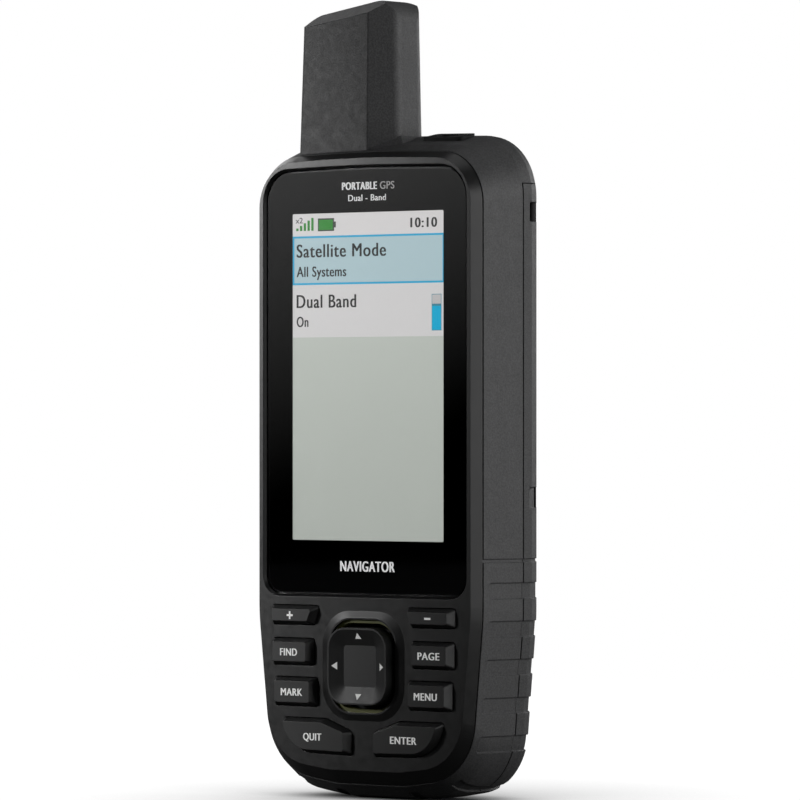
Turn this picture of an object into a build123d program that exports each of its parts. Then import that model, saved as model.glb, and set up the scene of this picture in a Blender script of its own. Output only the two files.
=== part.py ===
from build123d import *
import os

os.makedirs("parts", exist_ok=True)

# A hand-held satellite navigator. Millimetres: +X is the holder's right, the display faces -Y, +Z is up.
# The origin is the middle of the footprint on the surface that the case stands on.

# ---------------------------------------------------------------- driving dimensions
FRONT_Y = -15.3          # y of the flat face around the display; a "depth" is measured back from it
BACK_DEPTH = 28.8        # flat of the back
KNEE_Z = 37.0            # below this height the sides draw in
ARCH = 0.9               # how much lower the ends of the top edge are than its middle
SIDE_DRAW = 3.05         # how far each side draws in by the bottom corner
FOOT_HALF = 9.0          # half width of the flat that the case stands on

# The case, front to back: depth, half width, top, bottom, bottom corner rise, top radius, bottom radius
CASE = [
    (0.0, 27.6, 129.5, 5.9, 1.9, 9.2, 11.2),
    (2.2, 29.1, 130.8, 3.0, 2.5, 10.6, 13.0),
    (6.0, 29.8, 132.2, 0.6, 2.3, 11.2, 13.6),
    (8.6, 30.25, 132.8, 0.0, 2.5, 11.6, 13.8),
    (12.7, 31.0, 133.9, 0.0, 2.8, 12.0, 13.8),
    (15.4, 31.0, 134.3, 0.0, 2.8, 12.0, 13.8),
    (17.2, 30.6, 134.2, 0.0, 2.9, 11.8, 13.8),
    (19.0, 29.35, 133.3, 0.0, 2.9, 11.4, 13.4),
    (27.9, 21.9, 127.4, 5.6, 3.1, 8.0, 9.2),
    (28.8, 20.5, 126.2, 6.8, 3.0, 7.4, 7.8),
]
SEAM_FRONT = 2.2         # depth of the joint line between the front and middle housings
SEAM_REAR = 12.7         # depth of the joint line between the middle and rear housings
SEAM_TOP_Z = 123.8       # the rear housing stops here; the middle housing carries on above it
SEAM_GAP = 0.04
FRONT_GROOVE = (0.24, 0.55)   # width and depth of the shadow groove cut along each joint line
REAR_GROOVE = (0.3, 0.38)
SHELF_GAP = 0.14         # gap where the rear housing stops below the middle one
FOOT_R = 16.0            # radius between the flat foot and the rise towards the corners
WALL = 2.3
FLOOR_DEPTH = 11.3       # the middle housing's floor runs from here back to the rear joint
BACK_WALL_DEPTH = 25.8   # inner face of the rear wall

# display
LENS_HALF = 25.9
LENS_BOTTOM = 41.5
LENS_TOP = 127.3
LENS_RECESS = 0.7
LENS_THICK = 0.8
MASK_THICK = 0.2
SCREEN_HALF = 19.8       # half width of the lit area
SCREEN_BOTTOM = 52.2
SCREEN_TOP = 118.4
LCD_DEPTH = 1.75
BOARD_DEPTH = 4.6
BOARD_THICK = 1.2

# keys
KEY_PROUD = 1.75
KEY_GAP = 0.18
KEY_INSET_X = 1.15
KEY_INSET_Z = 0.9
FRONT_WALL = 2.15
FLANGE_DEPTH = 2.22
FLANGE_THICK = 0.6
PLUNGER_END = 3.5
# Openings for the keys of the right-hand column, as corners (x, z) and radii; the left-hand ones mirror them
ZOOM_OPENING = ([(12.7, 34.9), (24.0, 34.9), (24.0, 39.1), (11.3, 39.1)], [0.7] * 4)
UPPER_OPENING = ([(12.7, 26.7), (23.8, 26.7), (23.8, 32.4), (12.7, 32.4)], [0.7] * 4)
LOWER_OPENING = ([(11.8, 18.4), (23.3, 18.4), (23.3, 24.5), (11.8, 24.5)], [0.7] * 4)
CORNER_OPENING = ([(2.8, 8.8), (19.4, 9.1), (21.1, 16.3), (9.6, 16.3), (2.8, 13.9)], [0.7, 8.0, 0.7, 1.4, 1.2])

# rocker
ROCKER_Z = 27.0
ROCKER_WIDTH = 15.5
ROCKER_PROUD = 2.2
WELL_WIDTH = 17.2
WELL_HEIGHT = 18.8
BALL_DEPTH = 3.05
BALL_R = 1.5
BALL_FIT = 0.06

# antenna tower
TOWER_BASE_Z = 128.0
TOWER_LOFT_Z = 165.0     # height to which the leaning sides are drawn before the top is cut
TOWER_TOP_Z = 161.5
TOWER_LEFT_Z = 159.0     # top edge at the left end of its slope
FACET_Z = 159.15         # height of the sloping facet where it leaves the middle of the front face
FACET_RISE = (0.144, 0.577)   # how it rises to the right and to the back
TOWER_X = -8.4
TOWER_MID_DEPTH = 11.3

# power key, in the top face
POWER_X = (7.2, 17.9)
POWER_DEPTH = (9.3, 14.7)
POWER_TOP_Z = 133.85
POWER_STEM = (11.6, 9.6)

# battery door, spine and latch on the back
DOOR_HALF = 17.6
DOOR_BOTTOM = 13.0
DOOR_TOP = 99.0
DOOR_LIP = 27.4          # depth of the underside of the door's lip
DOOR_CORNER = 5.0
LATCH_Z = 30.0
LATCH_STEM_R = 2.6
RING_PIN_DEPTH = 31.1
RING_WIRE_R = 1.1
RING_HALF = 6.6
SPINE_Z = (50.0, 90.0)

# screws: middles of the four that hold the board to the front, and of the four that close the case
FRONT_SCREWS = [(-22.9, 44.0), (22.9, 44.0), (-22.0, 123.6), (22.0, 123.6)]
CASE_SCREWS = [(-9.0, 10.4), (9.0, 10.4), (-19.6, 104.4), (19.6, 104.4)]
SCREW_HEAD_DEPTH = 22.6
SPINE_SCREW_Z = (56.0, 84.0)

# notches in both edges; the upper ones are lanyard pockets, each crossed by a pin
NOTCH_DEPTH = (14.7, 20.6)
LANYARD_Z = (116.2, 120.1)
LANYARD_X = 28.6
LANYARD_DEPTH = 18.5
LANYARD_R = 0.6
LOWER_NOTCH_Z = (59.0, 63.1)
LOWER_NOTCH_DEEP = 0.7    # how far the lower notches go into the wall
LAMP_X = -13.4
LAMP_Z = 110.5

# port cap
PORT_Z = 110.5
CAP_HALF = 7.2
CAP_PIN_Z = 116.2
CAP_PIN_DEPTH = 27.95
CAP_THICK = 1.6


# ---------------------------------------------------------------- helpers
def y_at(depth):
    return FRONT_Y + depth


def front_plane(depth):
    """A drawing plane seen from the front: its x is X and its y is Z."""
    return Plane(origin=(0, y_at(depth), 0), x_dir=(1, 0, 0), z_dir=(0, -1, 0))


def slab(face, near, far):
    """A front-view face made solid between two depths."""
    return extrude(front_plane(far) * face, amount=far - near)


def block(x, depth, z):
    """A plain block between two x, two depths and two heights."""
    centre = ((x[0] + x[1]) / 2, y_at((depth[0] + depth[1]) / 2), (z[0] + z[1]) / 2)
    return Pos(*centre) * Box(x[1] - x[0], depth[1] - depth[0], z[1] - z[0])


def side_block(side, x, depth, z):
    """A block on one side of the case; x is measured outwards."""
    return block((min(side * x[0], side * x[1]), max(side * x[0], side * x[1])), depth, z)


def rod_y(radius, x, z, near, far):
    """A cylinder whose axis runs front to back."""
    return Pos(x, y_at((near + far) / 2), z) * Rot(90, 0, 0) * Cylinder(radius, far - near)


def rod_x(radius, x, depth, z):
    """A cylinder whose axis runs left to right between two x."""
    return Pos((x[0] + x[1]) / 2, y_at(depth), z) * Rot(0, 90, 0) * Cylinder(radius, x[1] - x[0])


def rod_z(radius, x, depth, z):
    """A cylinder whose axis is upright between two heights."""
    return Pos(x, y_at(depth), (z[0] + z[1]) / 2) * Cylinder(radius, z[1] - z[0])


def rounded(width, height, radius, x=0.0, z=0.0):
    return Pos(x, z) * RectangleRounded(width, height, radius)


def span(x, z, radius):
    """A rounded rectangle between two x and two z, in a front view."""
    return rounded(x[1] - x[0], z[1] - z[0], radius, (x[0] + x[1]) / 2, (z[0] + z[1]) / 2)


def loop(points, radius):
    return make_face(FilletPolyline(*points, close=True, radius=radius))


def mirrored(points, side):
    return [(side * x, z) for x, z in points]


def grown(points, dx, dz):
    """Corner points moved away from their middle by dx and dz."""
    xs = [x for x, z in points]
    zs = [z for x, z in points]
    mid_x = (min(xs) + max(xs)) / 2
    mid_z = (min(zs) + max(zs)) / 2
    scale_x = 1 + 2 * dx / (max(xs) - min(xs))
    scale_z = 1 + 2 * dz / (max(zs) - min(zs))
    return [(mid_x + (x - mid_x) * scale_x, mid_z + (z - mid_z) * scale_z) for x, z in points]


def joined(solids):
    result = solids[0]
    for solid in solids[1:]:
        result = result + solid
    return result


def save(shape, name):
    export_step(shape, "parts/" + name + ".step")


# ---------------------------------------------------------------- the case's outer and inner forms
def case_at(depth):
    for near, far in zip(CASE, CASE[1:]):
        if depth <= far[0]:
            part_way = (depth - near[0]) / (far[0] - near[0])
            return [a + (b - a) * part_way for a, b in zip(near, far)]
    return list(CASE[-1])


def case_outline(depth, inset):
    """The case's outline at a depth, drawn in by inset all round."""
    size = case_at(depth)
    half, top, bottom = size[1] - inset, size[2] - inset, size[3] + inset
    rise, r_top, r_bottom = size[4], size[5] - inset, size[6] - inset
    right = [(FOOT_HALF, bottom), (half - SIDE_DRAW, bottom + rise), (half, KNEE_Z), (half, top - ARCH)]
    left = [(-x, z) for x, z in reversed(right)]
    radii = [FOOT_R, r_bottom, 45.0, r_top]
    crown = 0.42 * half ** 2 / ARCH
    return loop(right + [(0, top)] + left, radii + [crown] + radii[::-1])


def case_form(near, far, inset=0.0):
    depths = [near] + [row[0] for row in CASE if near + 0.5 < row[0] < far - 0.5] + [far]
    return loft([front_plane(d) * case_outline(d, inset) for d in depths], ruled=True)


def above(shape, height):
    return split(shape, bisect_by=Plane(origin=(0, 0, height), z_dir=(0, 0, 1)), keep=Keep.TOP)


def below(shape, height):
    return split(shape, bisect_by=Plane(origin=(0, 0, height), z_dir=(0, 0, 1)), keep=Keep.BOTTOM)


def seam_groove(depth, size):
    """A narrow groove all round the case on a joint line."""
    width, deep = size
    near, far = depth - width / 2, depth + width / 2
    return slab(case_outline(depth, -1.5), near, far) - slab(case_outline(depth, deep), near - 0.1, far + 0.1)


# ---------------------------------------------------------------- grip
def grip_cutter():
    """Shallow pockets up both sides of the lower case, and the fine line above them."""
    pocket_depth, line_depth = 0.45, 0.3
    bars = []
    for row in range(5):
        z = 42.5 - 7.65 * row
        bars.append(block((-40, 40), (4.4, 24.5), (z - 1.6, z + 1.6)))
        bars.append(rod_x(0.8, (-40, 40), 4.4, z + 0.8))
        bars.append(rod_x(0.8, (-40, 40), 4.4, z - 0.8))
        bars.append(block((-40, 40), (3.6, 4.4), (z - 0.8, z + 0.8)))
    for side in (-1, 1):
        # one more pocket turned round each bottom corner, and one underneath
        bars.append(Pos(side * 20.9, y_at(14.2), 3.2) * Rot(0, side * -27, 0) * Box(2.6, 19.6, 9.0))
        bars.append(block((side * 9.6 - 1.3, side * 9.6 + 1.3), (4.4, 24.0), (-2.0, 3.0)))
    pockets = joined(bars) - case_form(2.3, 27.0, pocket_depth)
    line = block((-40, 40), (2.0, 28.0), (48.15, 48.85)) - case_form(1.9, 28.5, line_depth)
    return pockets + line


# ---------------------------------------------------------------- front housing and display
def lens_outline(inset):
    half = LENS_HALF - inset
    top = LENS_TOP - inset
    bottom = LENS_BOTTOM + inset
    corners = [(half, bottom), (half, top - 0.6), (0, top), (-half, top - 0.6), (-half, bottom)]
    return loop(corners, [3.5 - inset, 6.0 - inset, 430.0, 6.0 - inset, 3.5 - inset])


def key_outline(opening, dx=0.0, dz=0.0):
    """An opening's outline moved out, or with negative values in, by dx and dz."""
    points, radii = opening
    change = 1.3 * dx if dx < 0 else 0.4 * dx
    return loop(grown(points, dx, dz), [max(0.4, radius + change) for radius in radii])


def key_columns():
    """Every key: its name, and its opening in the front housing as corners and radii."""
    rows = [("zoom", ZOOM_OPENING), ("upper", UPPER_OPENING), ("lower", LOWER_OPENING), ("corner", CORNER_OPENING)]
    names = {
        ("zoom", -1): "zoom_in_key", ("zoom", 1): "zoom_out_key",
        ("upper", -1): "find_key", ("upper", 1): "page_key",
        ("lower", -1): "mark_key", ("lower", 1): "menu_key",
        ("corner", -1): "quit_key", ("corner", 1): "enter_key",
    }
    return [
        (names[(row, side)], (mirrored(points, side), radii))
        for row, (points, radii) in rows for side in (-1, 1)
    ]


def front_housing():
    shell = case_form(0.0, FRONT_WALL)
    ring = loft([
        front_plane(0.02) * rounded(21.6, 22.2, 7.0, 0, ROCKER_Z),
        front_plane(-0.45) * rounded(18.1, 19.5, 6.0, 0, ROCKER_Z),
    ], ruled=True)
    shell = shell + ring
    # recess for the lens, with its sloping lip, and the ledge that the lens sits on
    seat = LENS_RECESS + LENS_THICK + MASK_THICK
    shell -= slab(lens_outline(-0.3), 0.0, seat)
    shell -= loft([front_plane(-0.01) * lens_outline(-0.75), front_plane(0.6) * lens_outline(-0.3)], ruled=True)
    shell -= slab(span((-23.2, 23.2), (46.5, 122.2), 2.0), seat, FRONT_WALL)
    # openings
    shell -= slab(rounded(WELL_WIDTH, WELL_HEIGHT, 5.6, 0, ROCKER_Z), -1.0, FRONT_WALL)
    for name, opening in key_columns():
        shell -= slab(key_outline(opening), -0.5, FRONT_WALL)
    # tongue that centres the front in the middle housing
    tongue = slab(case_outline(SEAM_FRONT, 2.5), FRONT_WALL, 4.0) - slab(case_outline(SEAM_FRONT, 3.6), 2.0, 4.1)
    for name, opening in key_columns():
        tongue -= flange_pocket(opening)
    shell = shell + tongue - seam_groove(SEAM_FRONT, FRONT_GROOVE)
    for x, z in FRONT_SCREWS:
        boss = rod_y(2.3, x, z, FRONT_WALL, BOARD_DEPTH) - rod_y(0.8, x, z, FRONT_WALL + 0.3, BOARD_DEPTH)
        shell = shell + boss
    return shell


def housing_gasket():
    inner = slab(case_outline(SEAM_FRONT, 1.9), FRONT_WALL - 0.1, SEAM_FRONT + 0.2)
    return slab(case_outline(SEAM_FRONT, 0.5), FRONT_WALL, SEAM_FRONT + SEAM_GAP / 2) - inner


def display_lens():
    return slab(lens_outline(0.0), LENS_RECESS, LENS_RECESS + LENS_THICK)


def lens_mask():
    near = LENS_RECESS + LENS_THICK
    window = span((-SCREEN_HALF, SCREEN_HALF), (SCREEN_BOTTOM, SCREEN_TOP), 0.3)
    return slab(lens_outline(0.15), near, near + MASK_THICK) - slab(window, near - 0.1, near + MASK_THICK + 0.1)


def display_stack():
    lcd = slab(span((-21.6, 21.6), (49.4, 120.4), 0.5), LCD_DEPTH, 2.85)
    backlight = slab(span((-21.6, 21.6), (49.4, 120.4), 0.5), 2.87, 3.7)
    tray_outer = slab(span((-22.4, 22.4), (48.6, 121.2), 0.8), 2.3, 4.1)
    tray = tray_outer - slab(span((-21.75, 21.75), (49.25, 120.55), 0.5), 2.2, 3.75)
    flex = block((-6, 6), (2.9, 3.1), (46.9, 48.6)) + block((-6, 6), (2.9, BOARD_DEPTH), (46.7, 46.9))
    return {"lcd_panel": lcd, "backlight": backlight, "display_tray": tray, "display_flex": flex}


# ---------------------------------------------------------------- keys
def key(opening):
    """A raised cap with sloping flanks on a shank, a flange behind the wall and a plunger."""
    shank = key_outline(opening, -KEY_GAP, -KEY_GAP)
    crown = key_outline(opening, -KEY_INSET_X, -KEY_INSET_Z)
    cap = loft([front_plane(-0.15) * shank, front_plane(-KEY_PROUD) * crown], ruled=True)
    solid = cap + slab(shank, -0.15, FLANGE_DEPTH)
    solid = solid + slab(key_outline(opening, 0.5, 0.45), FLANGE_DEPTH, FLANGE_DEPTH + FLANGE_THICK)
    x, z = key_middle(opening)
    return solid + rod_y(1.5, x, z, FLANGE_DEPTH + FLANGE_THICK, PLUNGER_END)


def key_middle(opening):
    points, radii = opening
    xs = [x for x, z in points]
    zs = [z for x, z in points]
    return (min(xs) + max(xs)) / 2, (min(zs) + max(zs)) / 2


def flange_pocket(opening):
    return slab(key_outline(opening, 0.8, 0.72), FRONT_WALL, 4.1)


def keypad_mat():
    """The rubber web that seals round the keys, with a pocket for each flange."""
    web = below(slab(case_outline(SEAM_FRONT, 3.9), FLANGE_DEPTH, 3.9), 40.8)
    for name, opening in key_columns():
        web -= flange_pocket(opening)
    # under the rocker only a thin floor is left, with holes for its post and its four plungers
    web -= slab(rounded(18.2, 19.8, 6.0, 0, ROCKER_Z), 2.0, 3.55)
    web -= rod_y(2.5, 0, ROCKER_Z, 3.0, 4.0)
    for x, z in rocker_contacts():
        web -= rod_y(1.2, x, z, 3.0, 4.0)
    return web


def dome_switches():
    domes = []
    for name, opening in key_columns():
        x, z = key_middle(opening)
        domes.append(rod_y(1.9, x, z, BOARD_DEPTH - 0.25, BOARD_DEPTH))
    for x, z in rocker_contacts():
        domes.append(rod_y(1.5, x, z, BOARD_DEPTH - 0.25, BOARD_DEPTH))
    return Compound(children=domes)


# ---------------------------------------------------------------- rocker
def rocker_contacts():
    """Middles of the four switches that the rocker presses."""
    reach = 5.2
    return [(0, ROCKER_Z + reach), (0, ROCKER_Z - reach), (reach, ROCKER_Z), (-reach, ROCKER_Z)]


def rocker_cap():
    top_width = ROCKER_WIDTH - 0.15
    body = loft([
        front_plane(0.9) * rounded(ROCKER_WIDTH, ROCKER_WIDTH + 0.1, 4.6, 0, ROCKER_Z),
        front_plane(-ROCKER_PROUD) * rounded(top_width, top_width + 0.1, 4.3, 0, ROCKER_Z),
    ], ruled=True)
    dish = loft([
        front_plane(-ROCKER_PROUD - 0.01) * rounded(top_width - 0.7, top_width - 0.6, 3.9, 0, ROCKER_Z),
        front_plane(-1.1) * rounded(8.4, 8.4, 0.7, 0, ROCKER_Z),
    ], ruled=True)
    body -= dish
    for x, z in rocker_contacts():
        body = body + rod_y(0.8, x, z, 0.9, 4.0)
    stem = rod_y(2.3, 0, ROCKER_Z, 0.9, BALL_DEPTH - 0.35)
    socket = Pos(0, y_at(BALL_DEPTH), ROCKER_Z) * Sphere(BALL_R + BALL_FIT)
    return body + (stem - socket)


def rocker_ball():
    return Pos(0, y_at(BALL_DEPTH), ROCKER_Z) * Sphere(BALL_R)


def rocker_post():
    post = rod_y(2.3, 0, ROCKER_Z, BALL_DEPTH + 0.35, BOARD_DEPTH)
    return post - Pos(0, y_at(BALL_DEPTH), ROCKER_Z) * Sphere(BALL_R + BALL_FIT)


def rocker_ring():
    """The coloured liner of the rocker's well, with a foot behind the wall."""
    liner = slab(rounded(WELL_WIDTH, WELL_HEIGHT, 5.6, 0, ROCKER_Z), 0.3, FRONT_WALL)
    foot = slab(rounded(WELL_WIDTH + 0.7, WELL_HEIGHT + 0.7, 5.9, 0, ROCKER_Z), FRONT_WALL, 2.6)
    bore = slab(rounded(WELL_WIDTH - 0.7, WELL_HEIGHT - 1.5, 5.0, 0, ROCKER_Z), 0.2, 2.7)
    return liner + foot - bore


# ---------------------------------------------------------------- middle housing and antenna tower
def tower_plan(height, inset):
    """The tower's plan: a flat front, a slanting facet on the right of it, and a rounded back."""
    near, far = 3.0 + inset, 19.6 - inset
    left, right = -19.9 + inset, 3.5 - inset
    crease, shoulder = -1.6 - 0.4 * inset, 7.8 + 0.4 * inset
    points = [(left, near), (crease, near), (right, shoulder), (right, 14.6), (right - 5.0, far), (left + 3.0, far)]
    points.append((left, far - 3.0))
    corners = [(x, y_at(depth)) for x, depth in points]
    face = make_face(FilletPolyline(*corners, close=True, radius=[1.0, 0.5, 3.2, 3.0, 3.0, 1.2, 1.2]))
    return Pos(0, 0, height) * face


def tower_form():
    leaning = loft([tower_plan(TOWER_BASE_Z, 0.0), tower_plan(TOWER_LOFT_Z, 0.85)], ruled=True)
    # seen from the front: a slope down to the left, and a wide bend at the top right
    corners = [(-22, 120), (6, 120), (2.5, TOWER_TOP_Z - 0.1), (-3.2, TOWER_TOP_Z), (-18.95, TOWER_LEFT_Z)]
    profile = slab(loop(corners, [1, 1, 5.0, 8, 1.8]), -1.0, 24.0)
    # the sloping facet above the front face
    rise_x, rise_y = FACET_RISE
    facet = Plane(origin=(0, y_at(3.8), FACET_Z), z_dir=(-rise_x, -rise_y, 1))
    # seen from the side: the back of the top is rounded over
    side = Plane(origin=(-30, 0, 0), x_dir=(0, 1, 0), z_dir=(1, 0, 0))
    back = [(y_at(-1.0), 120), (y_at(21.5), 120), (y_at(18.6), TOWER_TOP_Z + 0.1), (y_at(-1.0), TOWER_TOP_Z + 0.1)]
    rounding = extrude(side * loop(back, [1, 1, 5.5, 1]), amount=50)
    form = split(leaning & profile & rounding, bisect_by=facet, keep=Keep.BOTTOM)
    return form + tower_skirt()


def tower_skirt():
    """The swelling at the foot of the tower's right side."""
    top = TOWER_BASE_Z + 6.0
    corners = [
        (-1.6, 3.1, 131.2), (5.3, 6.4, 131.0), (5.9, 15.2, 131.6), (-1.6, 14.0, 131.0),
        (3.3, 7.9, top - 0.1), (3.3, 14.6, top), (-1.6, 12.0, top),
    ]
    return ConvexPolyhedron([(x, y_at(depth), z) for x, depth, z in corners])


def tower_cavity():
    plan = [(-17.4, 5.6), (-2.6, 5.6), (1.0, 9.2), (1.0, 14.2), (-2.6, 17.2), (-17.4, 17.2)]
    face = make_face(Polyline(*[(x, y_at(depth)) for x, depth in plan], close=True))
    return extrude(Pos(0, 0, TOWER_BASE_Z) * face, amount=27.6)


def mid_housing():
    seam = SEAM_GAP / 2
    outer = case_form(SEAM_FRONT + seam, SEAM_REAR - seam)
    rear_outer = above(case_form(SEAM_REAR - seam, BACK_DEPTH), SEAM_TOP_Z + SHELF_GAP / 2)
    shell = outer + rear_outer + tower_form()
    cavity = case_form(SEAM_FRONT, FLOOR_DEPTH, WALL)
    rear_cavity = above(case_form(FLOOR_DEPTH - 0.1, BACK_WALL_DEPTH, WALL + 0.5), SEAM_TOP_Z + 1.8)
    shell = shell - cavity - rear_cavity - tower_cavity()
    # opening for the power key
    hole = span_plan((POWER_X[0], POWER_X[1]), POWER_DEPTH, 1.4)
    shell -= extrude(Pos(0, 0, 125.5) * hole, amount=12)
    # pillars for the case screws
    for x, z in CASE_SCREWS:
        pillar = rod_y(2.4, x, z, BOARD_DEPTH + BOARD_THICK + 0.05, FLOOR_DEPTH)
        shell = shell + pillar - rod_y(0.9, x, z, 7.0, SEAM_REAR)
    grooves = seam_groove(SEAM_FRONT, FRONT_GROOVE) + below(seam_groove(SEAM_REAR, REAR_GROOVE), SEAM_TOP_Z)
    return shell - grooves - grip_cutter()


def span_plan(x, depth, radius):
    """A rounded rectangle lying flat, between two x and two depths."""
    middle = ((x[0] + x[1]) / 2, y_at((depth[0] + depth[1]) / 2))
    return Pos(*middle) * RectangleRounded(x[1] - x[0], depth[1] - depth[0], radius)


def power_key():
    """A pad in the top face: its top follows the slope of the case, with a finger dimple."""
    gap = 0.2
    plan = span_plan((POWER_X[0] + gap, POWER_X[1] - gap), (POWER_DEPTH[0] + gap, POWER_DEPTH[1] - gap), 1.2)
    pad = extrude(Pos(0, 0, 128.6) * plan, amount=8)
    middle = y_at((POWER_DEPTH[0] + POWER_DEPTH[1]) / 2)
    slope = Plane(origin=(12.0, middle, POWER_TOP_Z), z_dir=(0.02, -0.2, 1))
    pad = split(pad, bisect_by=slope, keep=Keep.BOTTOM)
    dimple = Pos(12.2, middle + 0.1, POWER_TOP_Z - 0.4) * extrude(SlotOverall(4.6, 2.6), amount=3)
    flange_plan = span_plan((POWER_X[0] - 0.6, POWER_X[1] + 0.6), (POWER_DEPTH[0] - 0.6, POWER_DEPTH[1] + 0.6), 1.6)
    flange = extrude(Pos(0, 0, 128.0) * flange_plan, amount=0.6)
    stem = rod_z(1.4, POWER_STEM[0], POWER_STEM[1], (125.8, 128.0))
    return pad - dimple + flange + stem


# ---------------------------------------------------------------- electronics
def main_board():
    outline = case_outline(SEAM_FRONT, 2.75)
    board = slab(outline, BOARD_DEPTH, BOARD_DEPTH + BOARD_THICK)
    for x, z in FRONT_SCREWS:
        board -= rod_y(0.9, x, z, BOARD_DEPTH - 1, BOARD_DEPTH + 3)
    return board


def board_screws():
    near = BOARD_DEPTH + BOARD_THICK
    screws = []
    for x, z in FRONT_SCREWS:
        screws.append(rod_y(1.7, x, z, near, near + 0.9) + rod_y(0.8, x, z, FRONT_WALL + 0.6, near))
    return Compound(children=screws)


def shield_cans():
    near = BOARD_DEPTH + BOARD_THICK
    cans = []
    for x, z in (((-19, -1), (62, 90)), ((2, 19), (70, 96))):
        shell = block(x, (near, near + 2.2), z)
        cans.append(shell - block((x[0] + 0.3, x[1] - 0.3), (near, near + 1.9), (z[0] + 0.3, z[1] - 0.3)))
    return Compound(children=cans)


def processor_chips():
    near = BOARD_DEPTH + BOARD_THICK
    return Compound(children=[
        block((-16, -4), (near, near + 1.1), (70, 82)),
        block((6, 15), (near, near + 1.1), (78, 88)),
    ])


def antenna_former():
    return rod_z(5.2, TOWER_X, TOWER_MID_DEPTH, (135.0, 154.5)) - rod_z(3.9, TOWER_X, TOWER_MID_DEPTH, (134, 155))


def antenna_elements():
    """Four copper strips that wind a quarter turn up the former, in short straight steps."""
    sleeve = rod_z(5.4, TOWER_X, TOWER_MID_DEPTH, (135.2, 154.3)) - rod_z(5.2, TOWER_X, TOWER_MID_DEPTH, (135, 155))
    steps = 9
    strips = []
    for arm in range(4):
        for step in range(steps):
            turn = arm * 90 + step * 90 / steps
            z = 135.2 + (step + 0.5) * 19.1 / steps
            sector = Pos(5.3, 0, 0) * Box(2.0, 1.7, 19.1 / steps + 0.01)
            strips.append(Pos(TOWER_X, y_at(TOWER_MID_DEPTH), z) * Rot(0, 0, turn) * sector)
    return Compound(children=(sleeve & joined(strips)).solids())


def antenna_board():
    plate = Pos(TOWER_X, y_at(TOWER_MID_DEPTH), 134.0) * RectangleRounded(13.0, 9.6, 1.0)
    return extrude(plate, amount=1.0)


def antenna_lead():
    """The coaxial lead from the antenna down to the main board."""
    far = y_at(8.7)
    near = y_at(BOARD_DEPTH + BOARD_THICK)
    path = FilletPolyline((TOWER_X, far, 134.0), (TOWER_X, far, 113.0), (TOWER_X, near, 113.0), radius=2.0)
    return sweep(Plane(origin=(TOWER_X, far, 134.0), z_dir=(0, 0, -1)) * Circle(0.6), path=path)


def power_switch():
    return block((8.6, 14.6), (BOARD_DEPTH + BOARD_THICK, 11.1), (121.8, 125.0))


def buzzer():
    near = BOARD_DEPTH + BOARD_THICK
    return rod_y(5.0, 12.5, 55.0, near, near + 2.6) - rod_y(0.8, 12.5, 55.0, near + 2.0, near + 2.7)


def battery_pack():
    return slab(span((-15.2, 15.2), (24.5, 84.5), 2.0), SEAM_REAR + 0.25, 24.4)


def battery_contacts():
    """Two sprung blades that meet the top end of the battery."""
    blades = []
    for x in (-6.0, 6.0):
        foot = block((x - 1.2, x + 1.2), (SEAM_REAR, SEAM_REAR + 0.3), (84.9, 88.2))
        blade = block((x - 1.2, x + 1.2), (SEAM_REAR + 0.3, 19.0), (84.9, 85.2))
        blades.append(foot + blade)
    return Compound(children=blades)


def card_holder():
    near = SEAM_REAR
    holder = block((-9.0, 4.0), (near, near + 1.9), (89.0, 101.6))
    return holder - block((-9.1, 3.4), (near + 0.35, near + 1.55), (89.7, 100.9))


def memory_card():
    near = SEAM_REAR
    return block((-11.6, 3.1), (near + 0.45, near + 1.4), (89.85, 100.75))


# ---------------------------------------------------------------- rear housing
def door_outline(half, low, high, radius):
    return span((-half, half), (low, high), radius)


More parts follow.
